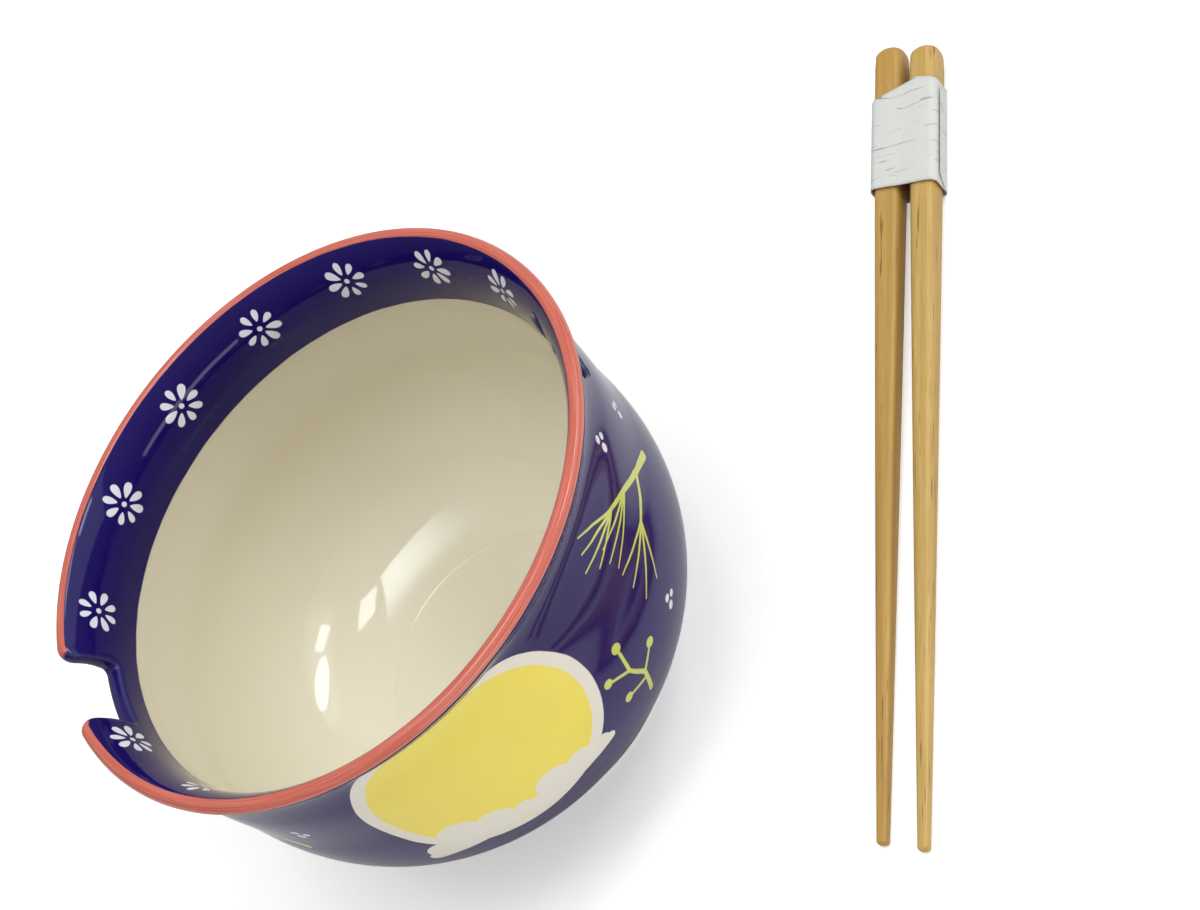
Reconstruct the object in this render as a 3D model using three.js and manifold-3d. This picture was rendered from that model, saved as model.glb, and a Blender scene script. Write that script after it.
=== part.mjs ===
// Noodle bowl with a chopstick rest, and the pair of chopsticks that belongs to it.
// The bowl stands on its foot ring. The chopsticks lie beside it on the same table, held
// together by a paper band. Millimetres, +Z up. The origin is on the table, in the middle
// of the set's footprint. The bowl's two holes face +X and its notch faces -X.
import * as THREE from 'three';
import { mergeVertices } from 'three/addons/utils/BufferGeometryUtils.js';
import Module from 'manifold-3d';

const wasm = await Module();
wasm.setup();

// Bowl, outside
const RIM_RADIUS = 80;
const BOWL_HEIGHT = 103;
const LIP_ROLL = 2; // radius of the rolled lip
const LIP_LEAN = 40; // degrees that the neck leans out where it runs into the lip
const LIP_REACH = 5; // length over which the neck turns into the lip
const NECK_DEPTH = 20; // from the lip down to the shoulder
const SHOULDER_RADIUS = 75.2;
const WAIST_RADIUS = 73.6;
const WAIST_HEIGHT = 60; // the wall stands upright here
const BELLY_FULLNESS = 30; // how far below the waist the wall stays nearly upright

// Bowl, foot
const FOOT_RADIUS = 45;
const FOOT_WIDTH = 5;
const FOOT_HEIGHT = 4.6;
const FOOT_RECESS = 6; // depth of the underside inside the foot ring
const FOOT_SLOPE = 1.5; // the ring's inner side leans in by this much
const FOOT_SWEEP = [13, 11]; // out and up, where the belly leaves the foot

// Bowl, inside
const NECK_WALL = 4.8;
const WAIST_WALL = 4.2;
const WELL_RADIUS = 34.8; // a fine ring round the flat of the bottom
const BASE_THICKNESS = 7.6; // at the well's ring
const WELL_DISH = 0.6; // the bottom sinks this far from the ring to the middle
const WELL_SWEEP = [18, 3]; // out and up, where the wall leaves the well

// Chopsticks
const STICK_LENGTH = 240;
const STICK_SIDE = 8.5; // across the flats at the thick end
const STICK_CORNER = 2.4;
const TIP_SIDE = 2.8;
const TAPER_POWER = 1.2; // 1 is a straight taper, more keeps the handle end thicker
const END_ROUND = 1.1;
const STICK_PITCH = 10.8; // between the axes of the two sticks
const STICK_STAGGER = 3; // the left stick lies this far ahead of the right one
const TIP_LIFT = 0.25; // the bowed underside leaves the tips this far above the table

// Paper band
const PAPER = 0.3;
const BAND_PLAY = 0.3; // between the paper and the sticks
const BAND_START = 12.4; // from the right stick's thick end to the peak of the paper
const BAND_LENGTH = 35.5; // from the peak to the straight edge
const BAND_GABLE = 5.2; // height of the peaked edge

// Rest for the chopsticks
const NOTCH_PLAY = 4.5; // room beside two sticks
const NOTCH_DEPTH = 13.8;
const NOTCH_CORNER = 1.6;
const NOTCH_SHOULDER = 4; // rounding of the rim's ends
const HOLE_PLAY = 1.1; // room round one stick
const HOLE_PITCH = 13.2;
const HOLE_DEPTH = 12.4; // from the top of the lip to the holes' axes

// Where the chopsticks lie beside the bowl
const SIDE_GAP = 35; // from the rim to the middle of the pair
const SIDE_BEARING = -29.3; // degrees from +X towards +Y, from the bowl to the pair
const HANDLE_REACH = 170; // from the bowl's middle to the thick ends, along the sticks

// Fineness of the round forms
const BOWL_SIDES = 60;
const CURVE_STEPS = 6;
const STICK_STEPS = 10;
const CORNER_STEPS = 2;
const HOLE_SIDES = 28;
const WELD = 1e-4; // points closer than this are one point

// Materials
const glaze = new THREE.MeshStandardMaterial({ color: 0x2a2060, roughness: 0.12, metalness: 0 });
const leftBamboo = new THREE.MeshStandardMaterial({ color: 0xc8a060, roughness: 0.6, metalness: 0 });
const rightBamboo = new THREE.MeshStandardMaterial({ color: 0xd6b26e, roughness: 0.6, metalness: 0 });
const washi = new THREE.MeshStandardMaterial({ color: 0xe4e4e2, roughness: 0.9, metalness: 0 });

// Geometry as a solid that can be cut
function toSolid(geometry) {
  const bare = geometry.clone();
  bare.deleteAttribute('normal');
  bare.deleteAttribute('uv');
  const welded = mergeVertices(bare, WELD);
  const corners = welded.index.array;
  const kept = [];
  for (let i = 0; i < corners.length; i += 3) {
    const [a, b, c] = corners.slice(i, i + 3);
    if (a !== b && b !== c && c !== a) kept.push(a, b, c);
  }
  return new wasm.Manifold(new wasm.Mesh({
    numProp: 3,
    vertProperties: new Float32Array(welded.attributes.position.array),
    triVerts: new Uint32Array(kept),
  }));
}

// A solid as geometry again
function toGeometry(solid) {
  const mesh = solid.getMesh();
  const geometry = new THREE.BufferGeometry();
  geometry.setAttribute('position', new THREE.BufferAttribute(mesh.vertProperties, 3));
  geometry.setIndex(new THREE.BufferAttribute(mesh.triVerts, 1));
  return geometry;
}

function named(name, geometry, material) {
  const mesh = new THREE.Mesh(geometry, material);
  mesh.name = name;
  return mesh;
}

function roundedRectangle(Outline, width, height, radius) {
  const outline = new Outline();
  const x = width / 2 - radius;
  const y = height / 2 - radius;
  outline.absarc(x, y, radius, 0, Math.PI / 2);
  outline.absarc(-x, y, radius, Math.PI / 2, Math.PI);
  outline.absarc(-x, -y, radius, Math.PI, 1.5 * Math.PI);
  outline.absarc(x, -y, radius, 1.5 * Math.PI, 2 * Math.PI);
  outline.closePath();
  return outline;
}

// Bowl: one profile, from the middle of the underside up over the lip to the middle of the well
function bowlProfile() {
  const lean = THREE.MathUtils.degToRad(LIP_LEAN);
  const lip = new THREE.Vector2(RIM_RADIUS - LIP_ROLL, BOWL_HEIGHT - LIP_ROLL);
  const alongLip = new THREE.Vector2(Math.sin(lean), Math.cos(lean)).multiplyScalar(LIP_REACH);
  const outerLip = new THREE.Vector2(Math.cos(lean), -Math.sin(lean)).multiplyScalar(LIP_ROLL).add(lip);
  const innerLip = new THREE.Vector2(-Math.cos(lean), Math.sin(lean)).multiplyScalar(LIP_ROLL).add(lip);
  const shoulder = BOWL_HEIGHT - NECK_DEPTH;
  const neckHandle = NECK_DEPTH / 2;
  const wallHandle = (shoulder - WAIST_HEIGHT) / 3;
  const innerShoulder = SHOULDER_RADIUS - NECK_WALL;
  const innerWaist = WAIST_RADIUS - WAIST_WALL;
  const well = FOOT_RECESS + BASE_THICKNESS;

  const profile = new THREE.Path();
  profile.moveTo(0, FOOT_RECESS);
  profile.lineTo(FOOT_RADIUS - FOOT_WIDTH - FOOT_SLOPE, FOOT_RECESS);
  profile.lineTo(FOOT_RADIUS - FOOT_WIDTH, 0);
  profile.lineTo(FOOT_RADIUS, 0);
  profile.lineTo(FOOT_RADIUS, FOOT_HEIGHT);
  profile.bezierCurveTo(
    FOOT_RADIUS + FOOT_SWEEP[0], FOOT_HEIGHT + FOOT_SWEEP[1],
    WAIST_RADIUS, WAIST_HEIGHT - BELLY_FULLNESS,
    WAIST_RADIUS, WAIST_HEIGHT);
  profile.bezierCurveTo(
    WAIST_RADIUS, WAIST_HEIGHT + wallHandle,
    SHOULDER_RADIUS, shoulder - wallHandle,
    SHOULDER_RADIUS, shoulder);
  profile.bezierCurveTo(
    SHOULDER_RADIUS, shoulder + neckHandle,
    outerLip.x - alongLip.x, outerLip.y - alongLip.y,
    outerLip.x, outerLip.y);
  profile.absarc(lip.x, lip.y, LIP_ROLL, -lean, Math.PI - lean);
  profile.bezierCurveTo(
    innerLip.x - alongLip.x, innerLip.y - alongLip.y,
    innerShoulder, shoulder + neckHandle,
    innerShoulder, shoulder);
  profile.bezierCurveTo(
    innerShoulder, shoulder - wallHandle,
    innerWaist, WAIST_HEIGHT + wallHandle,
    innerWaist, WAIST_HEIGHT);
  profile.bezierCurveTo(
    innerWaist, WAIST_HEIGHT - BELLY_FULLNESS,
    WELL_RADIUS + WELL_SWEEP[0], well + WELL_SWEEP[1],
    WELL_RADIUS, well);
  profile.lineTo(0, well - WELL_DISH);
  return profile.getPoints(CURVE_STEPS);
}

// Notch: a slot through the wall with a flat floor, whose rim ends are rounded over
function notchCutter() {
  const half = STICK_SIDE + NOTCH_PLAY / 2;
  const floor = BOWL_HEIGHT - NOTCH_DEPTH;
  const brim = half + NOTCH_SHOULDER;
  const above = BOWL_HEIGHT + NOTCH_DEPTH;
  const outline = new THREE.Shape();
  outline.moveTo(-brim, above);
  outline.absarc(-brim, BOWL_HEIGHT - NOTCH_SHOULDER, NOTCH_SHOULDER, Math.PI / 2, 0, true);
  outline.absarc(-half + NOTCH_CORNER, floor + NOTCH_CORNER, NOTCH_CORNER, Math.PI, 1.5 * Math.PI);
  outline.absarc(half - NOTCH_CORNER, floor + NOTCH_CORNER, NOTCH_CORNER, 1.5 * Math.PI, 2 * Math.PI);
  outline.absarc(brim, BOWL_HEIGHT - NOTCH_SHOULDER, NOTCH_SHOULDER, Math.PI, Math.PI / 2, true);
  outline.lineTo(brim, above);
  outline.closePath();
  const cutter = new THREE.ExtrudeGeometry(outline, {
    depth: RIM_RADIUS,
    bevelEnabled: false,
    curveSegments: 2 * CORNER_STEPS,
  });
  const facing = new THREE.Matrix4().makeBasis(
    new THREE.Vector3(0, 1, 0), new THREE.Vector3(0, 0, 1), new THREE.Vector3(1, 0, 0));
  cutter.applyMatrix4(facing);
  cutter.translate(-RIM_RADIUS - LIP_ROLL, 0, 0);
  return cutter;
}

function holeCutter(side) {
  const radius = (STICK_SIDE + HOLE_PLAY) / 2;
  const cutter = new THREE.CylinderGeometry(radius, radius, RIM_RADIUS, HOLE_SIDES);
  cutter.rotateZ(Math.PI / 2);
  cutter.translate(RIM_RADIUS, side * HOLE_PITCH / 2, BOWL_HEIGHT - HOLE_DEPTH);
  return cutter;
}

function bowl() {
  const turned = new THREE.LatheGeometry(bowlProfile(), BOWL_SIDES);
  turned.rotateX(Math.PI / 2);
  let solid = toSolid(turned);
  const cutters = [notchCutter(), holeCutter(-1), holeCutter(1)];
  for (const cutter of cutters) {
    solid = solid.subtract(toSolid(cutter));
  }
  return named('bowl', toGeometry(solid), glaze);
}

// Side of a chopstick at a distance from its thick end
function sideAt(distance) {
  const share = THREE.MathUtils.clamp(distance / STICK_LENGTH, 0, 1);
  return STICK_SIDE - (STICK_SIDE - TIP_SIDE) * share ** TAPER_POWER;
}

// Chopstick: a rounded square drawn out along +Z from its thick end and thinned to its tip
function chopstick() {
  const section = roundedRectangle(THREE.Shape, STICK_SIDE, STICK_SIDE, STICK_CORNER);
  const stick = new THREE.ExtrudeGeometry(section, {
    depth: STICK_LENGTH - 2 * END_ROUND,
    steps: STICK_STEPS,
    curveSegments: CORNER_STEPS,
    bevelThickness: END_ROUND,
    bevelSize: END_ROUND,
    bevelOffset: -END_ROUND,
    bevelSegments: CORNER_STEPS,
  });
  stick.translate(0, 0, END_ROUND);
  const points = stick.attributes.position;
  for (let i = 0; i < points.count; i += 1) {
    const thinning = sideAt(points.getZ(i)) / STICK_SIDE;
    points.setX(i, points.getX(i) * thinning);
    points.setY(i, points.getY(i) * thinning);
  }
  return stick;
}

// Paper band: a sleeve round both sticks, its edge towards the thick ends cut to a peak
const bandSide = sideAt(BAND_START);
const bandHeight = bandSide + 2 * BAND_PLAY;
const bandWidth = STICK_PITCH + bandHeight;

function paperBand() {
  const inner = STICK_CORNER + BAND_PLAY;
  const sleeve = roundedRectangle(THREE.Shape, bandWidth + 2 * PAPER, bandHeight + 2 * PAPER, inner + PAPER);
  sleeve.holes.push(roundedRectangle(THREE.Path, bandWidth, bandHeight, inner));
  const blank = new THREE.ExtrudeGeometry(sleeve, {
    depth: BAND_LENGTH,
    bevelEnabled: false,
    curveSegments: CORNER_STEPS,
  });

  const reach = bandWidth; // past the paper on every side
  const gableEdge = BAND_GABLE * reach / (bandWidth / 2 + PAPER);
  const waste = new THREE.Shape();
  waste.moveTo(0, 0);
  waste.lineTo(reach, gableEdge);
  waste.lineTo(reach, -reach);
  waste.lineTo(-reach, -reach);
  waste.lineTo(-reach, gableEdge);
  waste.closePath();
  const cutter = new THREE.ExtrudeGeometry(waste, { depth: 2 * reach, bevelEnabled: false });
  cutter.translate(0, 0, -reach);
  cutter.rotateX(Math.PI / 2);
  return toGeometry(toSolid(blank).subtract(toSolid(cutter)));
}

// The pair in its band, lying on the table: +Z runs along the sticks to their tips, +Y is up
function chopsticksInBand() {
  const pair = new THREE.Group();
  const left = named('left_chopstick', chopstick(), leftBamboo);
  left.position.set(-STICK_PITCH / 2, 0, -STICK_STAGGER);
  const right = named('right_chopstick', chopstick(), rightBamboo);
  right.position.set(STICK_PITCH / 2, 0, 0);
  const band = named('paper_band', paperBand(), washi);
  band.position.set(0, 0, BAND_START);
  pair.add(left, right, band);

  const bandFoot = BAND_START + BAND_LENGTH;
  const bandAxis = bandHeight / 2 + PAPER;
  const tipAxis = TIP_SIDE / 2 + TIP_LIFT;
  const fall = (bandAxis - tipAxis) / (STICK_LENGTH - bandFoot);
  const bearing = THREE.MathUtils.degToRad(SIDE_BEARING);
  const across = new THREE.Vector3(Math.cos(bearing), Math.sin(bearing), 0);
  const along = new THREE.Vector3(Math.sin(bearing), -Math.cos(bearing), -fall).normalize();
  const up = new THREE.Vector3().crossVectors(along, across);
  pair.quaternion.setFromRotationMatrix(new THREE.Matrix4().makeBasis(across, up, along));
  pair.position.copy(across).multiplyScalar(RIM_RADIUS + SIDE_GAP);
  pair.position.addScaledVector(along, -HANDLE_REACH);
  pair.position.z = bandAxis + fall * bandFoot;
  return pair;
}

// The set, with its footprint centred on the origin
const set = new THREE.Group();
set.add(bowl(), chopsticksInBand());
const footprint = new THREE.Box3().setFromObject(set, true);
const middle = footprint.getCenter(new THREE.Vector3());
set.position.set(-middle.x, -middle.y, -footprint.min.z);

export default set;
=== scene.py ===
"""Looks of the soup bowl with chopsticks: a glazed bowl and a bamboo pair in a paper band."""

from __future__ import annotations

import logging
import math
from bisect import bisect
from collections.abc import Iterable
from dataclasses import dataclass, field
from enum import Enum

import bmesh
import bpy
from mathutils import Matrix, Quaternion, Vector

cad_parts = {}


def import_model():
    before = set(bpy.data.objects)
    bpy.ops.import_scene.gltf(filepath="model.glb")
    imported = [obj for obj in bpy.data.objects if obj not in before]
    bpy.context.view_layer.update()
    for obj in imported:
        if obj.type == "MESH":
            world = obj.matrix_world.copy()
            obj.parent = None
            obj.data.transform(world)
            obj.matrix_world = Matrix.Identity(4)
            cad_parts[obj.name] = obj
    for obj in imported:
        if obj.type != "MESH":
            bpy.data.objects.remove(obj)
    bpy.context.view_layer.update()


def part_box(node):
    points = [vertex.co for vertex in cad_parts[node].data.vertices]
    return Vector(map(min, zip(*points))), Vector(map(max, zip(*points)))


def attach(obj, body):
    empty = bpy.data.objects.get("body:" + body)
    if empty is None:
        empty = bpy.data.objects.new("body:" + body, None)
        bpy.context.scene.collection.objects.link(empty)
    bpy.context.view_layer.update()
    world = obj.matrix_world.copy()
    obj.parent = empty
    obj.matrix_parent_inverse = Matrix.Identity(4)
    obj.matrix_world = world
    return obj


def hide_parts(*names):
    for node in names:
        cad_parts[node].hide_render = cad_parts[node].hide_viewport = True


log = logging.getLogger("soup_bowl")

MM = 0.001
UP = Vector((0, 0, 1))

Number = "Field | float"
Colour = tuple[float, float, float]


class Field:
    """A number that varies over a surface, worked out by shader nodes."""

    def __init__(self, tree: bpy.types.NodeTree, socket: bpy.types.NodeSocket) -> None:
        """Wraps an output socket of a node tree.

        Args:
            tree: The material's node tree.
            socket: The output that gives the number.
        """
        self.tree = tree
        self.socket = socket

    def math(self, operation: str, *others: Number) -> Field:
        """Adds a math node.

        Args:
            operation: The node's operation.
            others: The further inputs, as fields or plain numbers.

        Returns:
            The node's result.
        """
        node = self.tree.nodes.new("ShaderNodeMath")
        node.operation = operation
        for place, value in enumerate((self, *others)):
            plug(self.tree, node.inputs[place], value)
        return Field(self.tree, node.outputs[0])

    def __add__(self, other: Number) -> Field:
        """Sum of the two."""
        return self.math("ADD", other)

    def __sub__(self, other: Number) -> Field:
        """Difference of the two."""
        return self.math("SUBTRACT", other)

    def __mul__(self, other: Number) -> Field:
        """Product of the two."""
        return self.math("MULTIPLY", other)

    def __truediv__(self, other: Number) -> Field:
        """Quotient of the two."""
        return self.math("DIVIDE", other)

    def either(self, other: Number) -> Field:
        """The larger of the two, which joins two masks."""
        return self.math("MAXIMUM", other)

    def both(self, other: Number) -> Field:
        """The smaller of the two, which keeps what two masks share."""
        return self.math("MINIMUM", other)

    def past(self, edge: float, soft: float) -> Field:
        """A mask that rises from 0 to 1 where the field goes past an edge.

        Args:
            edge: The value at the middle of the rise.
            soft: The width of the rise.

        Returns:
            The mask.
        """
        return self.step(edge, soft, 0, 1)

    def under(self, edge: float, soft: float) -> Field:
        """A mask that is 1 where the field is under an edge.

        Args:
            edge: The value at the middle of the fall.
            soft: The width of the fall.

        Returns:
            The mask.
        """
        return self.step(edge, soft, 1, 0)

    def step(self, edge: float, soft: float, before: float, after: float) -> Field:
        """Goes smoothly from one number to another across an edge.

        Args:
            edge: The value at the middle of the change.
            soft: The width of the change.
            before: The number below the edge.
            after: The number above it.

        Returns:
            The number.
        """
        node = self.tree.nodes.new("ShaderNodeMapRange")
        node.interpolation_type = "SMOOTHSTEP"
        plug(self.tree, node.inputs["Value"], self)
        node.inputs["From Min"].default_value = edge - soft / 2
        node.inputs["From Max"].default_value = edge + soft / 2
        node.inputs["To Min"].default_value = before
        node.inputs["To Max"].default_value = after
        return Field(self.tree, node.outputs["Result"])


def plug(tree: bpy.types.NodeTree, target: bpy.types.NodeSocket, value: Number) -> None:
    """Feeds a node input.

    Args:
        tree: The material's node tree.
        target: The input.
        value: A field to link, or a plain value to set.
    """
    if isinstance(value, Field):
        tree.links.new(value.socket, target)
    else:
        target.default_value = value


def from_screen(red: int, green: int, blue: int) -> Colour:
    """Turns a screen colour of 0 to 255 into the linear one that shaders use.

    Args:
        red: The red part.
        green: The green part.
        blue: The blue part.

    Returns:
        The linear colour.
    """
    shares = (part / 255 for part in (red, green, blue))
    linear = [part / 12.92 if part <= 0.04045 else ((part + 0.055) / 1.055) ** 2.4 for part in shares]
    return (linear[0], linear[1], linear[2])


@dataclass(frozen=True)
class Stroke:
    """A brush stroke in a drawing, in millimetres, that narrows from its start to its end."""

    start: Vector
    end: Vector
    wide: float
    narrow: float


def dab(x: float, y: float, radius: float) -> Stroke:
    """Gives a round dab of paint."""
    return Stroke(Vector((x, y)), Vector((x, y)), radius, radius)


def line(points: list[tuple[float, float]], wide: float, narrow: float) -> list[Stroke]:
    """Gives a bent line of strokes.

    Args:
        points: The line's points.
        wide: Half its width at the first point.
        narrow: Half its width at the last point.

    Returns:
        The strokes.
    """
    count = len(points) - 1
    widths = [wide + (narrow - wide) * step / count for step in range(count + 1)]
    ends = [Vector(point) for point in points]
    return [Stroke(*pair, *width) for pair, width in zip(zip(ends, ends[1:]), zip(widths, widths[1:]))]


def needles(
    root: tuple[float, float], aim: float, spread: float, length: float, count: int
) -> list[Stroke]:
    """Gives a fan of needles from one point.

    Args:
        root: The point.
        aim: The fan's direction in degrees.
        spread: The angle between its outer needles.
        length: The length of the middle needle.
        count: How many needles it has.

    Returns:
        The strokes.
    """
    fan = []
    for number in range(count):
        share = number / (count - 1) - 0.5
        angle = math.radians(aim + spread * share)
        reach = length * (1 - 0.5 * share * share) * (0.9 if number % 2 else 1)
        tip = Vector(root) + reach * Vector((math.cos(angle), math.sin(angle)))
        fan.append(Stroke(Vector(root), tip, 0.5, 0.22))
    return fan


def cloud(x: float, y: float, size: float) -> list[Stroke]:
    """Gives a cloud with round tops over a flat foot.

    Args:
        x: The place of its middle, to the right.
        y: The place of its middle, up.
        size: Its scale; at 1 it is 25 mm wide.

    Returns:
        The strokes.
    """
    tops = ((-8, 0.5, 3.2), (-2.5, 3.5, 4.6), (4, 1.5, 4.0), (9.5, -0.5, 2.6))
    foot = y - 1.8 * size
    puffs = [dab(x + right * size, y + up * size, radius * size) for right, up, radius in tops]
    return puffs + line([(x - 10.5 * size, foot), (x + 11.5 * size, foot)], 1.7 * size, 1.5 * size)


class Paint:
    """A procedural material in the making."""

    def __init__(self, name: str) -> None:
        """Starts a material with one Principled shader.

        Args:
            name: The material's name.
        """
        self.material = bpy.data.materials.new(name)
        self.material.use_nodes = True
        self.tree = self.material.node_tree
        self.shader = self.tree.nodes["Principled BSDF"]

    def field(self, socket: bpy.types.NodeSocket) -> Field:
        """Wraps an output as a field."""
        return Field(self.tree, socket)

    def place(self, zero: Vector) -> tuple[Field, ...]:
        """Gives the surface's place in the set's frame.

        Args:
            zero: The point to measure from.

        Returns:
            The three coordinates, in metres.
        """
        coordinates = self.tree.nodes.new("ShaderNodeTexCoord")
        parts = self.tree.nodes.new("ShaderNodeSeparateXYZ")
        self.tree.links.new(coordinates.outputs["Object"], parts.inputs[0])
        return tuple(self.field(socket) - start for socket, start in zip(parts.outputs, zero))

    def attribute(self, name: str) -> bpy.types.Node:
        """Reads one of the mesh's own attributes."""
        node = self.tree.nodes.new("ShaderNodeAttribute")
        node.attribute_name = name
        return node

    def vector(self, *parts: Number) -> bpy.types.NodeSocket:
        """Joins three numbers into a vector.

        Args:
            parts: The three coordinates.

        Returns:
            The vector output.
        """
        node = self.tree.nodes.new("ShaderNodeCombineXYZ")
        for target, part in zip(node.inputs, parts):
            plug(self.tree, target, part)
        return node.outputs[0]

    def vector_math(
        self, operation: str, *parts: bpy.types.NodeSocket | Field | Vector
    ) -> bpy.types.Node:
        """Adds a vector math node.

        Args:
            operation: The node's operation.
            parts: The inputs, as outputs to link or plain vectors.

        Returns:
            The node.
        """
        node = self.tree.nodes.new("ShaderNodeVectorMath")
        node.operation = operation
        for target, part in zip(node.inputs, parts):
            if isinstance(part, Vector):
                target.default_value = part
            else:
                self.tree.links.new(part.socket if isinstance(part, Field) else part, target)
        return node

    def stroke(self, where: bpy.types.NodeSocket, stroke: Stroke) -> Field:
        """Gives the distance to a brush stroke's edge, below 0 inside it.

        Args:
            where: The place in the drawing.
            stroke: The stroke.

        Returns:
            The distance.
        """
        away = self.vector_math("SUBTRACT", where, stroke.start.to_3d()).outputs[0]
        way = (stroke.end - stroke.start).to_3d()
        if not way.length:
            return self.field(self.vector_math("LENGTH", away).outputs[1]) - stroke.wide
        share = self.field(self.vector_math("DOT_PRODUCT", away, way / way.length_squared).outputs[1])
        share = share.math("MAXIMUM", 0).math("MINIMUM", 1)
        rest = self.vector_math("MULTIPLY_ADD", share, -way, away).outputs[0]
        distance = self.field(self.vector_math("LENGTH", rest).outputs[1])
        return distance - share.math("MULTIPLY_ADD", stroke.narrow - stroke.wide, stroke.wide)

    def strokes(self, where: bpy.types.NodeSocket, strokes: list[Stroke]) -> Field:
        """Gives a mask that is 1 inside any of several strokes.

        Args:
            where: The place in the drawing.
            strokes: The strokes.

        Returns:
            The mask.
        """
        nearest = self.stroke(where, strokes[0])
        for stroke in strokes[1:]:
            nearest = nearest.both(self.stroke(where, stroke))
        return nearest.under(0, 0.25)

    def noise(
        self, where: bpy.types.NodeSocket | None, scale: float, detail: float, warp: float = 0
    ) -> Field:
        """Adds cloudy noise of 0 to 1.

        Args:
            where: The coordinates, or None for the object's own.
            scale: Clouds per metre.
            detail: Octaves of finer clouds.
            warp: How far the clouds are bent.

        Returns:
            The noise.
        """
        node = self.tree.nodes.new("ShaderNodeTexNoise")
        if where is None:
            where = self.tree.nodes.new("ShaderNodeTexCoord").outputs["Object"]
        self.tree.links.new(where, node.inputs["Vector"])
        node.inputs["Scale"].default_value = scale
        node.inputs["Detail"].default_value = detail
        node.inputs["Distortion"].default_value = warp
        return self.field(node.outputs["Fac"])

    def mix(
        self, share: Field, low: Colour | bpy.types.NodeSocket, high: Colour | bpy.types.NodeSocket
    ) -> bpy.types.NodeSocket:
        """Mixes two colours.

        Args:
            share: How much of the second shows.
            low: The first colour.
            high: The second colour.

        Returns:
            The mixed colour.
        """
        node = self.tree.nodes.new("ShaderNodeMix")
        node.data_type = "RGBA"
        plug(self.tree, node.inputs[0], share)
        for target, colour in ((node.inputs[6], low), (node.inputs[7], high)):
            if isinstance(colour, tuple):
                target.default_value = (*colour, 1)
            else:
                self.tree.links.new(colour, target)
        return node.outputs[2]

    def between(self, share: Field, low: Number, high: Number) -> Field:
        """Mixes two numbers.

        Args:
            share: How much of the second shows.
            low: The first number.
            high: The second number.

        Returns:
            The mixed number.
        """
        node = self.tree.nodes.new("ShaderNodeMapRange")
        plug(self.tree, node.inputs["Value"], share)
        plug(self.tree, node.inputs["To Min"], low)
        plug(self.tree, node.inputs["To Max"], high)
        return self.field(node.outputs["Result"])

    def colour(self, socket: bpy.types.NodeSocket) -> None:
        """Gives the shader its colour."""
        self.tree.links.new(socket, self.shader.inputs["Base Color"])

    def roughness(self, value: Field) -> None:
        """Gives the shader its roughness."""
        plug(self.tree, self.shader.inputs["Roughness"], value)

    def bump(self, height: Field, depth: float, strength: float = 1.0) -> None:
        """Gives the shader a fine relief.

        Args:
            height: The relief, 0 to 1.
            depth: Its depth in metres.
            strength: How strongly it shows.
        """
        node = self.tree.nodes.new("ShaderNodeBump")
        node.inputs["Strength"].default_value = strength
        node.inputs["Distance"].default_value = depth
        plug(self.tree, node.inputs["Height"], height)
        self.tree.links.new(node.outputs["Normal"], self.shader.inputs["Normal"])


@dataclass(frozen=True)
class Curve:
    """A cubic curve in the plane of radius and height."""

    start: Vector
    first: Vector
    second: Vector
    end: Vector

    def at(self, share: float) -> Vector:
        """Gives the point at a share of the way."""
        rest = 1 - share
        pull = 3 * rest * share * (rest * self.first + share * self.second)
        return rest**3 * self.start + pull + share**3 * self.end


def fillet(before: Vector, corner: Vector, after: Vector, radius: float, steps: int = 4) -> list[Vector]:
    """Rounds a corner of an outline.

    Args:
        before: The outline's point before the corner.
        corner: The corner.
        after: The outline's point after it.
        radius: The radius of the rounding.
        steps: How many straight steps the rounding has.

    Returns:
        The points of the rounding.
    """
    back = (before - corner).normalized()
    ahead = (after - corner).normalized()
    half = back.angle(ahead) / 2
    centre = corner + (back + ahead).normalized() * radius / math.sin(half)
    reach = radius / math.tan(half)
    first = corner + back * reach - centre
    last = corner + ahead * reach - centre
    return [centre + first.slerp(last, step / steps).normalized() * radius for step in range(steps + 1)]


def smooth(low: float, high: float, value: float) -> float:
    """Rises smoothly from 0 at one value to 1 at another.

    Args:
        low: Where the rise starts.
        high: Where it ends.
        value: The value to look up.

    Returns:
        The share, 0 to 1.
    """
    share = min(max((value - low) / (high - low), 0), 1)
    return share * share * (3 - 2 * share)


@dataclass(frozen=True)
class Walk:
    """A line of straight stretches and round bends in a plane."""

    start: Vector
    heading: float
    stretches: list[tuple[float, float]]

    def total(self) -> float:
        """Gives the length of the whole line."""
        return sum(length for length, _ in self.stretches)

    def distance(self, share: float, emphasis: float) -> float:
        """Gives the distance at a share of the steps along the line, with more of them in the bends.

        Args:
            share: The share of the steps, 0 to 1.
            emphasis: How many times closer the steps lie in the bends.

        Returns:
            The distance from the start.
        """
        weights = [length * (emphasis if turn else 1) for length, turn in self.stretches]
        left = share * sum(weights)
        distance = 0.0
        for (length, _), weight in zip(self.stretches, weights):
            part = min(left / weight, 1)
            distance += part * length
            left -= part * weight
        return distance

    def at(self, distance: float) -> tuple[Vector, float]:
        """Gives the place and the heading at a distance from the start.

        Args:
            distance: The distance along the line.

        Returns:
            The place and the heading.
        """
        place = self.start.copy()
        heading = self.heading
        left = distance
        for length, turn in self.stretches:
            run = min(left, length)
            end = heading + turn * run / length
            if turn:
                bend = length / turn
                place.x += bend * (math.sin(end) - math.sin(heading))
                place.y += bend * (math.cos(heading) - math.cos(end))
            else:
                place += run * Vector((math.cos(heading), math.sin(heading)))
            heading = end
            left -= run
            if left <= 0:
                break
        return place, heading


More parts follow.
